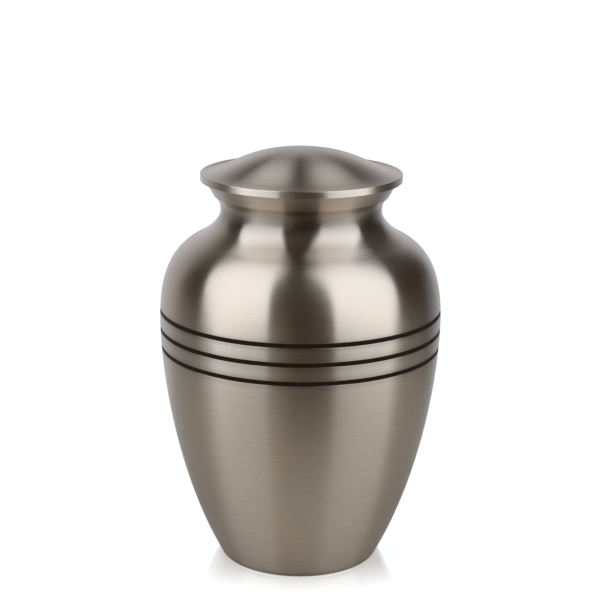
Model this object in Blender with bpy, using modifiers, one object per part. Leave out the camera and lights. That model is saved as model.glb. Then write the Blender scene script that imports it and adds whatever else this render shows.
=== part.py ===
"""A turned brass cremation urn with a lift-off domed lid, in metres, standing on z = 0."""

import math

import bpy
from mathutils import Vector
from mathutils.geometry import interpolate_bezier

# The vessel's outer side, from the foot up
FOOT_RADIUS = 0.0502
FOOT_EDGE = 0.0010
BELLY_RADIUS = 0.0872
BELLY_HEIGHT = 0.1545
SHOULDER_RISE = 0.0671
NECK_RADIUS = 0.0494
COLLAR_RISE = 0.0100
COLLAR_FLARE = 0.0044
LIP_RISE = 0.0087
LIP_FLARE = 0.0046
LIP_EDGE = 0.0004

# The curves between those: where the shoulder turns from round to hollow, as shares of the way
# from belly to neck; each lean, as sideways run against the straight line's; and how far each
# end pulls its curve, as shares of the straight line between the curve's ends
SHOULDER_SHARE_UP = 0.739
SHOULDER_SHARE_IN = 0.574
FOOT_LEAN = 2.24
SHOULDER_LEAN = 3.37
COLLAR_LEAN = 2.27
FOOT_PULL = 0.327
BELLY_PULL_DOWN = 0.277
BELLY_PULL_UP = 0.591
SHOULDER_PULL_DOWN = 0.239
SHOULDER_PULL_UP = 0.187
NECK_PULL_DOWN = 0.323
NECK_PULL_UP = 0.600
COLLAR_PULL = 0.250

# The vessel's metal and its underside
WALL = 0.0015
FLOOR = 0.0020
FOOT_RING = 0.0092
RECESS_DEPTH = 0.0008

# The bands cut round the belly
GROOVE_COUNT = 3
TOP_GROOVE_RISE = 0.0060
GROOVE_PITCH = 0.01143
GROOVE_WIDTH = 0.0028
GROOVE_DEPTH = 0.0005
GROOVE_TAPER = 0.0003

# The lid
SEAT_GAP = 0.0003
LID_OVERHANG = 0.0033
RIM_THICKNESS = 0.0043
RIM_EDGE = 0.0004
BRIM_LAND = 0.0020
DOME_RISE = 0.0146
CROWN_PULL = 0.585
BRIM_PULL = 0.244
BRIM_SLOPE = 0.05
LID_WALL = 0.0020
SKIRT_DEPTH = 0.0140
SKIRT_WALL = 0.0015
SKIRT_CLEARANCE = 0.0005

TURNS = 48
SHARP_ANGLE = math.radians(28)

NECK_HEIGHT = BELLY_HEIGHT + SHOULDER_RISE
COLLAR_HEIGHT = NECK_HEIGHT + COLLAR_RISE
COLLAR_RADIUS = NECK_RADIUS + COLLAR_FLARE
LIP_HEIGHT = COLLAR_HEIGHT + LIP_RISE
LIP_RADIUS = COLLAR_RADIUS + LIP_FLARE
MOUTH_RADIUS = NECK_RADIUS - WALL
LID_SEAT = LIP_HEIGHT + SEAT_GAP
LID_RADIUS = LIP_RADIUS + LID_OVERHANG

PEWTER = (0.38, 0.315, 0.24, 1.0)


def at(radius, height):
    """A point of a turned profile, or a way along it."""
    return Vector((radius, 0.0, height))


def sweep(start, way, pull, end, end_way, end_pull, steps):
    """A smooth curve that leaves its start and meets its end along the two ways given."""
    reach = (end - start).length
    handle = start + way.normalized() * reach * pull
    end_handle = end - end_way.normalized() * reach * end_pull
    return [Vector(point) for point in interpolate_bezier(start, handle, end_handle, end, steps + 1)]


def rounded(before, corner, after, radius, steps):
    """The rounded edge at a corner, from the side of one neighbour to the side of the other."""
    start = corner + (before - corner).normalized() * radius
    end = corner + (after - corner).normalized() * radius
    quarter_round = 0.39
    return sweep(start, corner - start, quarter_round, end, end - corner, quarter_round, steps)


def inward(points, distance):
    """The points moved square to their line, to its left where the line climbs."""
    moved = []
    for index, point in enumerate(points):
        before = points[max(index - 1, 0)]
        after = points[min(index + 1, len(points) - 1)]
        along = (after - before).normalized()
        moved.append(point + at(-along.z, along.x) * distance)
    return moved


def reached(points, axis, value):
    """The point where a line growing along an axis reaches a value, drawn on before its start if need be."""
    near, far = next(pair for pair in zip(points, points[1:]) if getattr(pair[1], axis) >= value)
    share = (value - getattr(near, axis)) / (getattr(far, axis) - getattr(near, axis))
    return near.lerp(far, share)


def vessel_outline():
    """The outer side of the wall from the foot's edge up to the neck, before the bands are cut."""
    foot = at(FOOT_RADIUS, FOOT_EDGE)
    belly = at(BELLY_RADIUS, BELLY_HEIGHT)
    neck = at(NECK_RADIUS, NECK_HEIGHT)
    up = at(0, 1)

    rising = belly - foot
    foot_way = at(rising.x * FOOT_LEAN, rising.z)
    closing = neck - belly
    shoulder = belly + at(closing.x * SHOULDER_SHARE_IN, closing.z * SHOULDER_SHARE_UP)
    shoulder_way = at(closing.x * SHOULDER_LEAN, closing.z)

    side = sweep(foot, foot_way, FOOT_PULL, belly, up, BELLY_PULL_DOWN, steps=9)
    top = sweep(belly, up, BELLY_PULL_UP, shoulder, shoulder_way, SHOULDER_PULL_DOWN, steps=9)
    throat = sweep(shoulder, shoulder_way, SHOULDER_PULL_UP, neck, up, NECK_PULL_DOWN, steps=6)
    return side + top[1:] + throat[1:]


def with_bands(outline):
    """The outline with a shallow band notched into it for each groove."""
    for number in range(GROOVE_COUNT):
        middle = BELLY_HEIGHT + TOP_GROOVE_RISE - number * GROOVE_PITCH
        low = reached(outline, "z", middle - GROOVE_WIDTH / 2)
        high = reached(outline, "z", middle + GROOVE_WIDTH / 2)
        along = (high - low).normalized()
        depth = at(-along.z, along.x) * GROOVE_DEPTH
        taper = along * GROOVE_TAPER
        notch = [low, low + depth + taper, high + depth - taper, high]
        margin = GROOVE_WIDTH / 4
        below = [point for point in outline if point.z < low.z - margin]
        above = [point for point in outline if point.z > high.z + margin]
        outline = below + notch + above
    return outline


def collar_outline():
    """The flare above the neck up to its crisp crease, then the cone of the lip."""
    neck = at(NECK_RADIUS, NECK_HEIGHT)
    crease = at(COLLAR_RADIUS, COLLAR_HEIGHT)
    lip = at(LIP_RADIUS, LIP_HEIGHT)
    mouth = at(MOUTH_RADIUS, LIP_HEIGHT)
    crease_way = at(COLLAR_FLARE * COLLAR_LEAN, COLLAR_RISE)
    flare = sweep(neck, at(0, 1), NECK_PULL_UP, crease, crease_way, COLLAR_PULL, steps=4)
    return flare[1:] + rounded(crease, lip, mouth, LIP_EDGE, steps=1)


def vessel_profile():
    """The vessel's whole section: inner floor, inner wall, mouth, outer side and underside."""
    outline = vessel_outline()
    floor_height = RECESS_DEPTH + FLOOR
    inner_wall = inward(outline, WALL)
    corner = reached(inner_wall, "z", floor_height)
    inside = [point for point in inner_wall if point.z > floor_height + WALL]

    foot_corner = at(FOOT_RADIUS, 0)
    recess_edge = at(FOOT_RADIUS - FOOT_RING, 0)
    recess_top = at(recess_edge.x - RECESS_DEPTH, RECESS_DEPTH)
    foot = rounded(outline[0], foot_corner, recess_edge, FOOT_EDGE, steps=2)

    return (
        [at(0, floor_height), corner]
        + inside
        + [at(MOUTH_RADIUS, LIP_HEIGHT)]
        + (with_bands(outline) + collar_outline())[::-1]
        + foot[1:]
        + [recess_edge, recess_top, at(0, RECESS_DEPTH)]
    )


def lid_profile():
    """The lid's whole section, with its seat at height 0: dome, rim, seat, skirt and hollow crown."""
    crown = at(0, RIM_THICKNESS + DOME_RISE)
    brim = at(LID_RADIUS - BRIM_LAND, RIM_THICKNESS)
    brim_way = at(1, -BRIM_SLOPE)
    dome = sweep(crown, at(1, 0), CROWN_PULL, brim, brim_way, BRIM_PULL, steps=13)

    rim_top = at(LID_RADIUS, RIM_THICKNESS)
    rim_foot = at(LID_RADIUS, 0)
    rim = rounded(brim, rim_top, rim_foot, RIM_EDGE, steps=1)

    skirt_outer = MOUTH_RADIUS - SKIRT_CLEARANCE
    skirt_inner = skirt_outer - SKIRT_WALL
    skirt = [at(skirt_outer, 0), at(skirt_outer, -SKIRT_DEPTH), at(skirt_inner, -SKIRT_DEPTH)]

    under_dome = inward(dome, -LID_WALL)
    under_dome[0] = crown - at(0, LID_WALL)
    corner = reached(under_dome, "x", skirt_inner)
    hollow = [point for point in under_dome if point.x < corner.x] + [corner]
    return dome + rim + [rim_foot] + skirt + hollow[::-1]


def brushed_pewter(name):
    """The brushed, pewter-coloured finish of one piece."""
    material = bpy.data.materials.new(name)
    material.use_nodes = True
    shader = material.node_tree.nodes["Principled BSDF"]
    shader.inputs["Base Color"].default_value = PEWTER
    shader.inputs["Metallic"].default_value = 1.0
    shader.inputs["Roughness"].default_value = 0.38
    return material


def turned(name, profile, collection):
    """A piece turned from its section, which runs down the piece's outer side."""
    section = bpy.data.meshes.new(name + "_section")
    edges = [(index, index + 1) for index in range(len(profile) - 1)]
    section.from_pydata(profile, edges, [])
    piece = bpy.data.objects.new(name, section)
    collection.objects.link(piece)

    turn = piece.modifiers.new("Turn", "SCREW")
    turn.axis = "Z"
    turn.angle = math.tau
    turn.steps = TURNS
    turn.render_steps = TURNS
    turn.use_merge_vertices = True
    turn.merge_threshold = 0.00001

    graph = bpy.context.evaluated_depsgraph_get()
    solid = bpy.data.meshes.new_from_object(piece.evaluated_get(graph))
    solid.name = name
    solid.shade_smooth()
    solid.set_sharp_from_angle(angle=SHARP_ANGLE)
    solid.materials.append(brushed_pewter(name + "_finish"))
    piece.modifiers.clear()
    piece.data = solid
    bpy.data.meshes.remove(section)
    return piece


def main():
    for thing in list(bpy.data.objects):
        bpy.data.objects.remove(thing)
    collection = bpy.data.collections.new("cremation_urn")
    bpy.context.scene.collection.children.link(collection)

    vessel = turned("urn_body", vessel_profile(), collection)
    lid = turned("lid", lid_profile(), collection)
    lid.parent = vessel
    lid.location = at(0, LID_SEAT)


main()
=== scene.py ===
import math

import bpy
from mathutils import Matrix, Vector
from mathutils.geometry import interpolate_bezier


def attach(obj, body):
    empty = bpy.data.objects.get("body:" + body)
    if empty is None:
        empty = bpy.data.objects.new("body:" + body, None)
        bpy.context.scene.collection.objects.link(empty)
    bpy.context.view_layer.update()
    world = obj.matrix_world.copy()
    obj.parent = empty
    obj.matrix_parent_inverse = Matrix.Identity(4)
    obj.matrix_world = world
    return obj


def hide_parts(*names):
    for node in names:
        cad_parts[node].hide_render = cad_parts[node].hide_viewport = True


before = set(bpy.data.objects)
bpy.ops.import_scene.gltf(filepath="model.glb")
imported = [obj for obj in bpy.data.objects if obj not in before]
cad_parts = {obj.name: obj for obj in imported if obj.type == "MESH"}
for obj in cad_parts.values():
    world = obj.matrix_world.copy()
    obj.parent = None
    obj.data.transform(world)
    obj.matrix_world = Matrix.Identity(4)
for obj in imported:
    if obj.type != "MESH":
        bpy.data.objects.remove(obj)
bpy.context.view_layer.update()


# The vessel. One piece of brass: foot, long tapering belly, round shoulder and narrow neck are spun to
# 1.5 mm, and the flared collar is thicker, turned round a straight mouth. Three bands are cut into the
# belly, and the whole is brushed round the axis, toned to a pewter colour and lacquered satin.

FOOT_RADIUS = 0.0502
FOOT_EDGE = 0.0010
FOOT_RING = 0.0092
RECESS_DEPTH = 0.0008
BELLY_RADIUS = 0.0872
BELLY_HEIGHT = 0.1545
SHOULDER_RISE = 0.0671
NECK_RADIUS = 0.0494
COLLAR_RISE = 0.0100
COLLAR_FLARE = 0.0044
CREASE_EDGE = 0.0004
LIP_RISE = 0.0087
LIP_FLARE = 0.0046
LIP_EDGE = 0.0004
WALL = 0.0015
FLOOR = 0.0020

# The curves between those sizes: where the shoulder turns from round to hollow, as shares of the way
# from belly to neck, each lean as sideways run against the straight line's, and each end's pull
SHOULDER_SHARE_UP = 0.739
SHOULDER_SHARE_IN = 0.574
FOOT_LEAN = 2.24
SHOULDER_LEAN = 3.37
COLLAR_LEAN = 2.27
FOOT_PULL = 0.327
BELLY_PULL_DOWN = 0.277
BELLY_PULL_UP = 0.591
SHOULDER_PULL_DOWN = 0.239
SHOULDER_PULL_UP = 0.187
NECK_PULL_DOWN = 0.323
NECK_PULL_UP = 0.600
COLLAR_PULL = 0.250

BAND_COUNT = 3
TOP_BAND_RISE = 0.0060
BAND_PITCH = 0.01143
BAND_WIDTH = 0.0028
BAND_DEPTH = 0.0005
BAND_TAPER = 0.0003
BAND_EDGE = 0.00014
BAND_MARGIN = 0.0003
BARE_LIP = 0.12

NECK_HEIGHT = BELLY_HEIGHT + SHOULDER_RISE
COLLAR_HEIGHT = NECK_HEIGHT + COLLAR_RISE
COLLAR_RADIUS = NECK_RADIUS + COLLAR_FLARE
LIP_HEIGHT = COLLAR_HEIGHT + LIP_RISE
LIP_RADIUS = COLLAR_RADIUS + LIP_FLARE
MOUTH_RADIUS = NECK_RADIUS - WALL
FLOOR_HEIGHT = RECESS_DEPTH + FLOOR
BAND_HEIGHTS = [BELLY_HEIGHT + TOP_BAND_RISE - BAND_PITCH * number for number in range(BAND_COUNT)]
THROAT_DROP = 0.0105
THROAT_HEIGHT = NECK_HEIGHT - THROAT_DROP

# How far along the section the rubbed edges with their painted highlight, the painted shade in corners and
# in the neck, and the finer finish of the throat fade out
EDGE_WEAR_AND_HIGHLIGHT = 0.0005
CORNER_SHADE = 0.0016
NECK_SHADE = 0.0052
THROAT_FINISH = 0.0060

ROUND_STEPS = 240
ON_AXIS = 1e-7
UP = Vector((0.0, 0.0, 1.0))


def at(radius, height):
    """A point of a turned section, or a way along it."""
    return Vector((radius, 0.0, height))


def sweep(start, way, pull, end, end_way, end_pull, steps):
    """A smooth curve that leaves its start and meets its end along the two ways given."""
    reach = (end - start).length
    handle = start + way.normalized() * reach * pull
    end_handle = end - end_way.normalized() * reach * end_pull
    return [Vector(point) for point in interpolate_bezier(start, handle, end_handle, end, steps + 1)]


def rounded(before, corner, after, radius, steps=5):
    """A softened corner, with a point just before and after it so that the flats beside it stay flat."""
    quarter_round = 0.39
    run_on = 0.4
    start_way = (before - corner).normalized()
    end_way = (after - corner).normalized()
    start = corner + start_way * radius
    end = corner + end_way * radius
    turn = sweep(start, -start_way, quarter_round, end, end_way, quarter_round, steps)
    return [start + start_way * radius * run_on] + turn + [end + end_way * radius * run_on]


def straight(start, end, steps=6):
    """Evenly spaced points along a straight stretch, without its two ends."""
    return [start.lerp(end, step / steps) for step in range(1, steps)]


def inward(points, distance):
    """The points moved square to their line, to its left where the line climbs."""
    moved = []
    for index, point in enumerate(points):
        before = points[max(index - 1, 0)]
        after = points[min(index + 1, len(points) - 1)]
        along = (after - before).normalized()
        moved.append(point + at(-along.z, along.x) * distance)
    return moved


def reached(points, axis, value):
    """The point where a line growing along an axis reaches a value, drawn on before its start if need be."""
    near, far = next(pair for pair in zip(points, points[1:]) if getattr(pair[1], axis) >= value)
    share = (value - getattr(near, axis)) / (getattr(far, axis) - getattr(near, axis))
    return near.lerp(far, share)


def vessel_outline():
    """The outer side of the wall from the foot's edge up to the neck, before the bands are cut."""
    foot = at(FOOT_RADIUS, FOOT_EDGE)
    belly = at(BELLY_RADIUS, BELLY_HEIGHT)
    neck = at(NECK_RADIUS, NECK_HEIGHT)

    rising = belly - foot
    foot_way = at(rising.x * FOOT_LEAN, rising.z)
    closing = neck - belly
    shoulder = belly + at(closing.x * SHOULDER_SHARE_IN, closing.z * SHOULDER_SHARE_UP)
    shoulder_way = at(closing.x * SHOULDER_LEAN, closing.z)

    side = sweep(foot, foot_way, FOOT_PULL, belly, UP, BELLY_PULL_DOWN, steps=64)
    top = sweep(belly, UP, BELLY_PULL_UP, shoulder, shoulder_way, SHOULDER_PULL_DOWN, steps=48)
    throat = sweep(shoulder, shoulder_way, SHOULDER_PULL_UP, neck, UP, NECK_PULL_DOWN, steps=30)
    return side + top[1:] + throat[1:]


def with_bands(outline):
    """The outline with the three bands cut into it, and the points of their lips and floors."""
    lips = []
    floors = []
    for height in BAND_HEIGHTS:
        low = reached(outline, "z", height - BAND_WIDTH / 2)
        high = reached(outline, "z", height + BAND_WIDTH / 2)
        along = (high - low).normalized()
        depth = at(-along.z, along.x) * BAND_DEPTH
        low_floor = low + depth + along * BAND_TAPER
        high_floor = high + depth - along * BAND_TAPER
        below = [point for point in outline if point.z < low.z - BAND_MARGIN]
        above = [point for point in outline if point.z > high.z + BAND_MARGIN]
        cut = (
            rounded(below[-1], low, low_floor, BAND_EDGE)
            + rounded(low, low_floor, high_floor, BAND_EDGE, steps=3)
            + rounded(low_floor, high_floor, high, BAND_EDGE, steps=3)
            + rounded(high_floor, high, above[0], BAND_EDGE)
        )
        outline = below + cut + above
        lips += [low, high]
        floors += [low_floor, high_floor]
    return outline, lips, floors


def turned(name, section, materials, marks, inlaid=None):
    """A piece turned from its section, with marks that fade from their places, and its inlaid faces."""
    rings = []
    points = []
    for place in section:
        size = 1 if place.x < ON_AXIS else ROUND_STEPS
        rings.append([len(points) + step % size for step in range(ROUND_STEPS)])
        for step in range(size):
            turn = math.tau * step / ROUND_STEPS
            points.append((place.x * math.cos(turn), place.x * math.sin(turn), place.z))

    faces = []
    inlays = []
    for number, (ring, following) in enumerate(zip(rings, rings[1:])):
        middle = (section[number] + section[number + 1]) / 2
        filled = 1 if inlaid and inlaid(middle) else 0
        for step in range(ROUND_STEPS):
            beside = (step + 1) % ROUND_STEPS
            corners = [ring[step], ring[beside], following[beside], following[step]]
            faces.append(list(dict.fromkeys(corners)))
            inlays.append(filled)

    mesh = bpy.data.meshes.new(name)
    mesh.from_pydata(points, [], faces)
    for material in materials:
        mesh.materials.append(material)
    mesh.polygons.foreach_set("material_index", inlays)

    for label, places, spread in marks:
        strengths = []
        for ring, place in zip(rings, section):
            nearest = min((place - other).length for other in places)
            strengths += [math.exp(-((nearest / spread) ** 2))] * len(set(ring))
        mesh.attributes.new(label, "FLOAT", "POINT").data.foreach_set("value", strengths)

    mesh.shade_smooth()
    piece = bpy.data.objects.new(name, mesh)
    bpy.context.scene.collection.objects.link(piece)
    return piece


def add(tree, kind, inputs=None, **settings):
    """A node in a tree with its settings, its plain values and what is wired into it."""
    made = tree.nodes.new(kind)
    for key, value in settings.items():
        setattr(made, key, value)
    for key, value in (inputs or {}).items():
        if isinstance(value, bpy.types.NodeSocket):
            tree.links.new(value, made.inputs[key])
        else:
            made.inputs[key].default_value = value
    return made


def maths(tree, operation, first, second):
    """Two values joined by arithmetic."""
    return add(tree, "ShaderNodeMath", {0: first, 1: second}, operation=operation).outputs[0]


def ranged(tree, value, start, end, low=0.0, high=1.0, fade="LINEAR"):
    """A value carried from the range between start and end to the range between low and high."""
    limits = {"Value": value, "From Min": start, "From Max": end, "To Min": low, "To Max": high}
    return add(tree, "ShaderNodeMapRange", limits, interpolation_type=fade).outputs[0]


def mixed(tree, share, first, second):
    """Two values mixed by a share."""
    return add(tree, "ShaderNodeMix", {"Factor": share, "A": first, "B": second}).outputs[0]


def blended(tree, share, first, second, blend="MIX"):
    """Two colours blended by a share."""
    sides = {"Factor": share, "A": first, "B": second}
    return add(tree, "ShaderNodeMix", sides, data_type="RGBA", blend_type=blend).outputs["Result"]


def shared(tree, share, first, second):
    """Two shaders mixed by a share."""
    return add(tree, "ShaderNodeMixShader", {0: share, 1: first, 2: second}).outputs[0]


def scaled(tree, way, scale):
    """A way stretched along each axis."""
    return add(tree, "ShaderNodeVectorMath", {0: way, 1: scale}, operation="MULTIPLY").outputs[0]


def length_of(tree, way):
    """How long a way is."""
    return add(tree, "ShaderNodeVectorMath", {0: way}, operation="LENGTH").outputs["Value"]


def lathe_lines(tree, place):
    """The radius, and coordinates in which a noise draws long, slowly drifting scratches round the axis."""
    drift = 0.008
    radius = length_of(tree, scaled(tree, place, (1.0, 1.0, 0.0)))
    x, y, z = add(tree, "ShaderNodeSeparateXYZ", {0: place}).outputs
    drift_x = maths(tree, "MULTIPLY", x, drift)
    drift_y = maths(tree, "MULTIPLY", y, drift)
    lines = add(tree, "ShaderNodeCombineXYZ", {"X": radius, "Y": z, "Z": drift_x}).outputs[0]
    return radius, {"Vector": lines, "W": drift_y}


def scratches_along(tree, lines, scale):
    """Scratches along the lathe's lines, finer where the scale is larger."""
    sockets = {**lines, "Scale": scale, "Detail": 2.0}
    return add(tree, "ShaderNodeTexNoise", sockets, noise_dimensions="4D").outputs["Fac"]


def brushed_pewter(name, tone, roughness, brushing, scratching):
    """Brass toned to pewter: brushed round the axis, with painted shade in hollows and corners, and lighter
    on worn edges, partly wear and partly a painted highlight.
    """
    material = bpy.data.materials.new(name)
    material.use_nodes = True
    tree = material.node_tree
    shader = tree.nodes["Principled BSDF"]
    shader.inputs["Metallic"].default_value = 1.0
    shader.inputs["Anisotropic"].default_value = brushing
    shader.inputs["Anisotropic Rotation"].default_value = 0.25
    tangent = add(tree, "ShaderNodeTangent", direction_type="RADIAL", axis="Z")
    tree.links.new(tangent.outputs[0], shader.inputs["Tangent"])

    def mark(label, strength):
        held = add(tree, "ShaderNodeAttribute", attribute_name=label).outputs["Fac"]
        return maths(tree, "MULTIPLY", held, strength)

    # The colour: toned unevenly, streaked by the brushing, darkened by painted shade in the hollows and
    # corners, and lightened on the edges by wear and a painted highlight
    warm_change = (1.04, 1.0, 0.95)
    cool_change = (0.96, 0.99, 1.03)
    warm = [part * change for part, change in zip(tone, warm_change)] + [1.0]
    cool = [part * change for part, change in zip(tone, cool_change)] + [1.0]
    darker = [1 - scratching] * 3 + [1.0]
    lighter = [1 + scratching] * 3 + [1.0]
    # The dark tone that paints shade into the bands' corners, under the lid's rim and into the neck's hollow
    painted_shade_tone = (0.11, 0.095, 0.08, 1.0)
    # The light tone of the edges: rubbed metal, and a painted highlight where the edges catch the light
    rubbed_and_highlight_tone = (0.64, 0.54, 0.43, 1.0)
    place = add(tree, "ShaderNodeTexCoord").outputs["Object"]
    radius, lines = lathe_lines(tree, place)
    fine = scratches_along(tree, lines, scale=3200.0)
    broad = scratches_along(tree, lines, scale=900.0)
    streaks = maths(tree, "MULTIPLY", maths(tree, "ADD", fine, broad), 0.5)
    cloud = add(tree, "ShaderNodeTexNoise", {"Vector": place, "Scale": 26.0, "Detail": 3.0}).outputs["Fac"]
    clouded = blended(tree, cloud, warm, cool)
    streaked = blended(tree, streaks, darker, lighter)
    brushed = blended(tree, 1.0, clouded, streaked, "MULTIPLY")
    # Painted shade: darker round the band floors, under the lid's rim and in the neck
    painted_shade = maths(tree, "ADD", mark("shaded", strength=0.55), mark("hollow", strength=0.5))
    shade_painted = blended(tree, painted_shade, brushed, painted_shade_tone)
    # Painted highlight on the band lips, the mouth's lip, the foot and the lid's rim, together with their
    # wear
    finished = blended(tree, mark("worn_and_highlit", strength=0.25), shade_painted, rubbed_and_highlight_tone)
    tree.links.new(finished, shader.inputs["Base Color"])

    # The sheen: rougher and smoother along the scratches, polished on the edges, finer in the throat
    spread = 0.015
    rubbed_roughness = 0.3
    grain = ranged(tree, streaks, start=0.3, end=0.7, low=roughness - spread, high=roughness + spread)
    polished = mixed(tree, mark("worn_and_highlit", strength=0.6), grain, rubbed_roughness)
    smoothed = maths(tree, "SUBTRACT", polished, mark("finer", strength=0.09))
    tree.links.new(smoothed, shader.inputs["Roughness"])
    scored = {"Height": streaks, "Strength": 0.35, "Distance": 0.00004}
    relief = add(tree, "ShaderNodeBump", scored).outputs[0]
    tree.links.new(relief, shader.inputs["Normal"])

    # At the very middle the scratches cross each other, so there the metal shines alike all round
    crossed = {"Base Color": finished, "Metallic": 1.0, "Roughness": polished, "Normal": relief}
    swirled = add(tree, "ShaderNodeBsdfPrincipled", crossed)
    middle = ranged(tree, radius, start=0.008, end=0.040, low=1.0, high=0.0, fade="SMOOTHSTEP")
    whole = shared(tree, middle, shader.outputs[0], swirled.outputs[0])
    tree.links.new(whole, tree.nodes["Material Output"].inputs["Surface"])
    return material


def band_enamel(name):
    """Black enamel run into the bands and wiped off beside them: satin, slightly brown and uneven."""
    material = bpy.data.materials.new(name)
    material.use_nodes = True
    tree = material.node_tree
    shader = tree.nodes["Principled BSDF"]
    shader.inputs["Specular IOR Level"].default_value = 0.05
    shader.inputs["Specular Tint"].default_value = (1.0, 0.78, 0.5, 1.0)
    thick = (0.010, 0.006, 0.0025, 1.0)
    thin = (0.022, 0.0135, 0.006, 1.0)
    place = add(tree, "ShaderNodeTexCoord").outputs["Object"]
    lines = lathe_lines(tree, place)[1]
    wiped = scratches_along(tree, lines, scale=1400.0)
    tree.links.new(blended(tree, wiped, thick, thin), shader.inputs["Base Color"])
    sheen = ranged(tree, wiped, start=0.0, end=1.0, low=0.4, high=0.6)
    tree.links.new(sheen, shader.inputs["Roughness"])
    return material


outline = vessel_outline()
banded, band_lips, band_floors = with_bands(outline)

neck = outline[-1]
crease = at(COLLAR_RADIUS, COLLAR_HEIGHT)
crease_way = at(COLLAR_FLARE * COLLAR_LEAN, COLLAR_RISE)
lip = at(LIP_RADIUS, LIP_HEIGHT)
mouth = at(MOUTH_RADIUS, LIP_HEIGHT)
flare = sweep(neck, UP, NECK_PULL_UP, crease, crease_way, COLLAR_PULL, steps=24)
clear_of_crease = CREASE_EDGE * 1.5
flare = [point for point in flare if (point - crease).length > clear_of_crease]
cone = rounded(flare[-1], crease, lip, CREASE_EDGE) + straight(crease, lip)
collar = flare[1:] + cone + rounded(crease, lip, mouth, LIP_EDGE)

inner_wall = inward(outline, WALL)
inside = [point for point in inner_wall if point.z > FLOOR_HEIGHT + WALL][::2]
foot_corner = at(FOOT_RADIUS, 0)
ring_edge = at(FOOT_RADIUS - FOOT_RING, 0)
recess_edge = at(ring_edge.x - RECESS_DEPTH, RECESS_DEPTH)

vessel_section = (
    [at(0, FLOOR_HEIGHT), reached(inner_wall, "z", FLOOR_HEIGHT)]
    + inside
    + [mouth]
    + (banded + collar)[::-1]
    + rounded(outline[0], foot_corner, ring_edge, FOOT_EDGE, steps=6)[1:]
    + [ring_edge, recess_edge, at(0, RECESS_DEPTH)]
)


def in_band(place):
    """Whether a point of the section lies in one of the bands, a little below the lips."""
    if not any(abs(place.z - height) < BAND_WIDTH / 2 for height in BAND_HEIGHTS):
        return False
    depth = reached(outline, "z", place.z).x - place.x
    return BAND_DEPTH * BARE_LIP < depth < WALL


vessel_pewter = brushed_pewter(
    "vessel_pewter", tone=(0.471, 0.388, 0.294), roughness=0.28, brushing=1.0, scratching=0.03
)
vessel = turned(
    "vessel",
    vessel_section,
    [vessel_pewter, band_enamel("band_enamel")],
    marks=[
        # Edge marks: lighter where rubbed, and painted as a highlight
        ("worn_and_highlit", band_lips + [lip, foot_corner], EDGE_WEAR_AND_HIGHLIGHT),
        # Painted shade round the band floors and in the neck's hollow
        ("shaded", band_floors, CORNER_SHADE),
        ("hollow", [neck], NECK_SHADE),
        ("finer", [reached(outline, "z", THROAT_HEIGHT)], THROAT_FINISH),
    ],
    inlaid=in_band,
)
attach(vessel, "root")
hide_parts("urn_body")


# The lid. One turned brass piece that lifts off: a low dome with a flat brim and a crisp square rim,
# hollow underneath, with a plain skirt that drops into the vessel's mouth. It is brushed and toned as
# the vessel is, with deeper scratches.

SEAT_GAP = 0.0003
LID_OVERHANG = 0.0033
RIM_THICKNESS = 0.0043
RIM_EDGE = 0.0004
RIM_FOOT_EDGE = 0.0002
BRIM_LAND = 0.0020
BRIM_SLOPE = 0.05
BRIM_PULL = 0.244
DOME_RISE = 0.0146
CROWN_PULL = 0.585
LID_WALL = 0.0020
SKIRT_DEPTH = 0.0140
SKIRT_WALL = 0.0015
SKIRT_CLEARANCE = 0.0005

LID_RADIUS = LIP_RADIUS + LID_OVERHANG
SKIRT_OUTER = MOUTH_RADIUS - SKIRT_CLEARANCE
SKIRT_INNER = SKIRT_OUTER - SKIRT_WALL

seat = at(0, LIP_HEIGHT + SEAT_GAP)
crown = seat + at(0, RIM_THICKNESS + DOME_RISE)
brim = seat + at(LID_RADIUS - BRIM_LAND, RIM_THICKNESS)
dome = sweep(crown, at(1, 0), CROWN_PULL, brim, at(1, -BRIM_SLOPE), BRIM_PULL, steps=72)
rim_top = seat + at(LID_RADIUS, RIM_THICKNESS)
rim_foot = seat + at(LID_RADIUS, 0)
rim_side = straight(rim_top, rim_foot)
skirt_top = seat + at(SKIRT_OUTER, 0)
skirt_foot = seat + at(SKIRT_OUTER, -SKIRT_DEPTH)
skirt_foot_inside = seat + at(SKIRT_INNER, -SKIRT_DEPTH)

under_dome = inward(dome, -LID_WALL)
under_dome[0] = crown - at(0, LID_WALL)
corner = reached(under_dome, "x", SKIRT_INNER)
hollow = [point for point in under_dome if point.x < corner.x][::3] + [corner]

lid_section = (
    dome
    + rounded(brim, rim_top, rim_foot, RIM_EDGE)
    + rim_side
    + rounded(rim_top, rim_foot, seat, RIM_FOOT_EDGE)
    + [skirt_top, skirt_foot, skirt_foot_inside]
    + hollow[::-1]
)

lid_pewter = brushed_pewter(
    "lid_pewter", tone=(0.483, 0.396, 0.297), roughness=0.32, brushing=0.97, scratching=0.30
)
lid = turned(
    "lid_cap",
    lid_section,
    [lid_pewter],
    marks=[
        # The rim's edges: lighter where rubbed, and painted as a highlight
        ("worn_and_highlit", [rim_top, rim_foot] + rim_side, EDGE_WEAR_AND_HIGHLIGHT),
        # Painted shade under the rim, where it meets the skirt
        ("shaded", [skirt_top], CORNER_SHADE),
    ],
)
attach(lid, "root")
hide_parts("lid")


# The table. A plain pale top, wide to both sides and shallow, that fades out into the white. To the eye
# it is as white as the backdrop, and a shine close round the foot mirrors the urn faintly.

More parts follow.
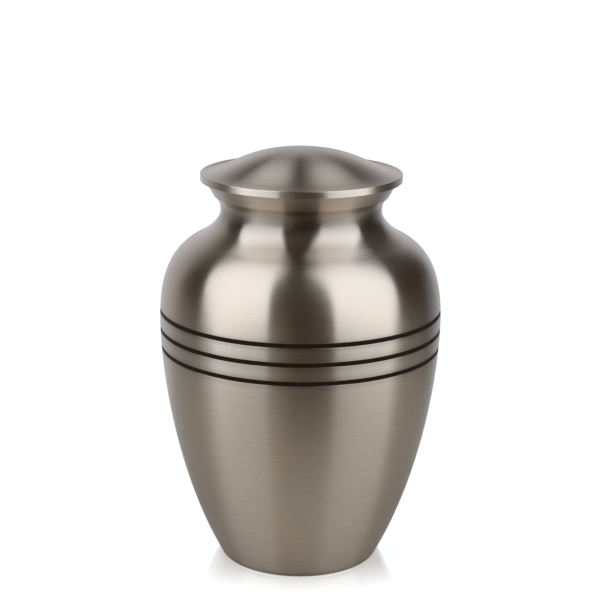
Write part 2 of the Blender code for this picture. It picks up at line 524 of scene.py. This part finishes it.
TABLE_REACH = 0.32
TABLE_FADE = 0.16
TABLE_STRETCH = 2.5
TABLE_SIDES = 96
TABLE_TONE = (0.59, 0.54, 0.475, 1.0)
MIRROR_START = 0.040
MIRROR_END = 0.0736
MIRROR_STRETCH = 4 / 3
MIRROR_SHARE = 0.60
MIRROR_TINT = (1.75, 1.75, 1.75, 1.0)
MIRROR_ROUGHNESS = 0.05
SHINE_SHARE = 0.03
SHINE_TINT = (0.9, 0.9, 0.9, 1.0)
SHINE_ROUGHNESS = 0.25
WHITE = (1.0, 1.0, 1.0, 1.0)
WHITE_STRENGTH = 1.05

table_edge = []
for side in range(TABLE_SIDES):
    turn = math.tau * side / TABLE_SIDES
    table_edge.append((TABLE_STRETCH * TABLE_REACH * math.cos(turn), TABLE_REACH * math.sin(turn), 0.0))
table_mesh = bpy.data.meshes.new("table_top")
table_mesh.from_pydata(table_edge, [], [list(range(TABLE_SIDES))])
table = bpy.data.objects.new("table_top", table_mesh)
bpy.context.scene.collection.objects.link(table)


def pale_table(name):
    """A pale top: white and faintly mirroring to the camera, matt with a slight shine to the urn."""
    material = bpy.data.materials.new(name)
    material.use_nodes = True
    tree = material.node_tree
    tree.nodes.remove(tree.nodes["Principled BSDF"])
    direct = add(tree, "ShaderNodeLightPath").outputs["Is Camera Ray"]
    place = add(tree, "ShaderNodeNewGeometry").outputs["Position"]

    matt = add(tree, "ShaderNodeBsdfDiffuse", {"Color": TABLE_TONE})
    white = add(tree, "ShaderNodeEmission", {"Color": WHITE, "Strength": WHITE_STRENGTH})
    lit = shared(tree, direct, matt.outputs[0], white.outputs[0])

    from_foot = length_of(tree, scaled(tree, place, (1 / MIRROR_STRETCH, 1.0, 1.0)))
    mirroring = ranged(tree, from_foot, MIRROR_START, MIRROR_END, low=MIRROR_SHARE, high=0.0)
    polish = mixed(tree, direct, SHINE_SHARE, mirroring)
    gloss = mixed(tree, direct, SHINE_ROUGHNESS, MIRROR_ROUGHNESS)
    mirrored = blended(tree, direct, SHINE_TINT, MIRROR_TINT)
    shine = add(tree, "ShaderNodeBsdfAnisotropic", {"Color": mirrored, "Roughness": gloss})
    top = shared(tree, polish, lit, shine.outputs[0])

    from_middle = length_of(tree, scaled(tree, place, (1 / TABLE_STRETCH, 1.0, 1.0)))
    away = ranged(tree, from_middle, TABLE_FADE, TABLE_REACH, fade="SMOOTHSTEP")
    clear = add(tree, "ShaderNodeBsdfTransparent")
    faded = shared(tree, away, top, clear.outputs[0])
    tree.links.new(faded, tree.nodes["Material Output"].inputs["Surface"])
    return material


table_mesh.materials.append(pale_table("pale_table"))


# The room. To the camera it is plain white all round. To the metal it is dark in front and pale behind,
# with a dim ceiling, and below eye level it is paler at both sides, as a light table top is.

SHADE = (1.5, 1.0, 0.7)
DAYLIGHT = (0.96, 1.0, 1.13)
PALE = (1.0, 1.0, 0.98)
CEILING = (0.15, 0.15, 0.15, 1.0)
BACKDROP_WAY = (-0.225, 0.974, 0.0)
ROOM_STRENGTH = 0.8

# Angle from straight in front of the urn to straight behind it, brightness there, and tint
UPPER_WALLS = [
    (0, 0.045, SHADE),
    (129, 0.045, SHADE),
    (143, 0.72, DAYLIGHT),
    (180, 0.95, DAYLIGHT),
]
LOWER_WALLS = [
    (0, 0.06, SHADE),
    (18, 0.1, SHADE),
    (34, 0.45, PALE),
    (74, 0.45, PALE),
    (86, 0.15, PALE),
    (108, 0.15, PALE),
    (126, 0.50, DAYLIGHT),
    (147, 0.85, DAYLIGHT),
    (180, 0.95, DAYLIGHT),
]


def walls(tree, behind, stops):
    """The walls' brightness and tint all round, by how far behind the urn a way points."""
    share = ranged(tree, behind, start=-1.0, end=1.0)
    ramp = add(tree, "ShaderNodeValToRGB", {0: share})
    elements = ramp.color_ramp.elements
    while len(elements) < len(stops):
        elements.new(0.5)
    for element, (angle, brightness, tint) in zip(elements, stops):
        element.position = (1 - math.cos(math.radians(angle))) / 2
        element.color = [brightness * part for part in tint] + [1.0]
    return ramp.outputs["Color"]


def studio_room(name):
    """The world around the urn."""
    world = bpy.data.worlds.new(name)
    world.use_nodes = True
    tree = world.node_tree
    tree.nodes.remove(tree.nodes["Background"])
    way = add(tree, "ShaderNodeTexCoord").outputs["Generated"]
    height = add(tree, "ShaderNodeSeparateXYZ", {0: way}).outputs["Z"]
    flattened = scaled(tree, way, (1.0, 1.0, 0.0))
    level = add(tree, "ShaderNodeVectorMath", {0: flattened}, operation="NORMALIZE").outputs[0]
    sides = {0: level, 1: BACKDROP_WAY}
    behind = add(tree, "ShaderNodeVectorMath", sides, operation="DOT_PRODUCT").outputs["Value"]

    overhead = ranged(tree, height, start=0.25, end=0.72, fade="SMOOTHSTEP")
    above = blended(tree, overhead, walls(tree, behind, UPPER_WALLS), CEILING)
    under_horizon = ranged(tree, height, start=0.12, end=-0.02, fade="SMOOTHSTEP")
    colours = blended(tree, under_horizon, above, walls(tree, behind, LOWER_WALLS))

    room = add(tree, "ShaderNodeBackground", {"Color": colours, "Strength": ROOM_STRENGTH})
    white = add(tree, "ShaderNodeBackground", {"Color": WHITE, "Strength": WHITE_STRENGTH})
    direct = add(tree, "ShaderNodeLightPath").outputs["Is Camera Ray"]
    seen = shared(tree, direct, room.outputs[0], white.outputs[0])
    tree.links.new(seen, tree.nodes["World Output"].inputs["Surface"])
    return world


bpy.context.scene.world = studio_room("studio")


# The lights. Two large, even soft lights stand at the front left and the front right. They reach from
# below the table top to over the urn, lean in above it, and are turned so that their tops part.

LIGHT_DISTANCE = 1.2
LIGHT_CENTRE = 0.15
LIGHT_COLOUR = (0.86, 0.98, 1.2)


def softbox(name, azimuth, tilt, width, low, high, lean, brightness):
    """A tall soft light that faces the urn, from low to high along its own upright side, tilted over it."""
    lamp = bpy.data.lights.new(name, "AREA")
    lamp.shape = "RECTANGLE"
    lamp.size = width
    lamp.size_y = high - low
    lamp.energy = brightness * math.pi * lamp.size * lamp.size_y
    lamp.color = LIGHT_COLOUR
    stand = bpy.data.objects.new(name, lamp)
    turn, lift = math.radians(azimuth), math.radians(tilt)
    out = Vector((math.sin(turn) * math.cos(lift), -math.cos(turn) * math.cos(lift), math.sin(lift)))
    facing = out.to_track_quat("Z", "Y").to_matrix().to_4x4()
    leaning = facing @ Matrix.Rotation(math.radians(lean), 4, "Z")
    raised = leaning @ Matrix.Translation((0, (low + high) / 2, LIGHT_DISTANCE))
    stand.matrix_world = Matrix.Translation((0, 0, LIGHT_CENTRE)) @ raised
    stand.visible_camera = False
    bpy.context.scene.collection.objects.link(stand)


softbox("left_softbox", azimuth=-57.4, tilt=24, width=1.265, low=-0.85, high=2.4, lean=20, brightness=2.22)
softbox("right_softbox", azimuth=57.5, tilt=23, width=1.30, low=-0.8, high=2.3, lean=-12, brightness=2.24)


# The camera. It stands a little under a metre in front of the urn and looks down on it at the
# photograph's angle, turned and rolled by a hair, with a lens that frames the urn as the photograph does.

IMAGE_WIDTH = 600
FOCAL_LENGTH_PIXELS = 1559.6
SENSOR_WIDTH = 36.0
CAMERA_PLACE = (0.0, -0.9362, 0.4209)
LOOK_DOWN_DEGREES = 15.34
TURN_ASIDE_DEGREES = 0.02
ROLL = 0.0082

camera = bpy.data.cameras.new("camera")
camera.sensor_width = SENSOR_WIDTH
camera.lens = FOCAL_LENGTH_PIXELS / IMAGE_WIDTH * SENSOR_WIDTH
viewer = bpy.data.objects.new("camera", camera)
bpy.context.scene.collection.objects.link(viewer)
viewer.matrix_world = (
    Matrix.Translation(CAMERA_PLACE)
    @ Matrix.Rotation(math.radians(TURN_ASIDE_DEGREES), 4, "Z")
    @ Matrix.Rotation(math.radians(90 - LOOK_DOWN_DEGREES), 4, "X")
    @ Matrix.Rotation(ROLL, 4, "Z")
)
bpy.context.scene.camera = viewer
bpy.context.scene.view_settings.view_transform = "Standard"
